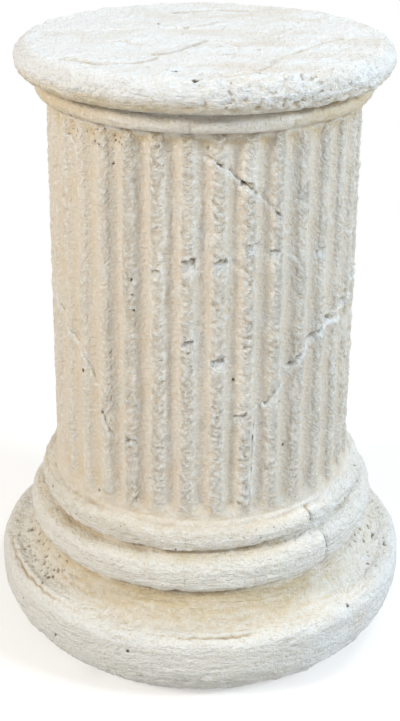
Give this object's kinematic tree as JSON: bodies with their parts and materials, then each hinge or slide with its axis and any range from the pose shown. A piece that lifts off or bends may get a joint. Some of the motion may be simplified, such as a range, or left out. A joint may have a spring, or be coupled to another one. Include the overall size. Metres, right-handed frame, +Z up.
{
  "type": "fluted pedestal column",
  "caption": "Short round fluted column cast in one piece, with a top slab, thin neck bead, stacked base mouldings and a wide foot roll.",
  "frame": {"origin": "centre of the underside, on the surface that the column stands on", "axes": "+Z up along the column's axis, -Y towards the front"},
  "size_m": [0.36, 0.36, 0.508],
  "materials": {
    "cast_stone": "matt, worn cast surface with pinholes, chips and hairline cracks"
  },
  "bodies": {
    "root": {"column": "cast_stone"}
  },
  "joints": []
}
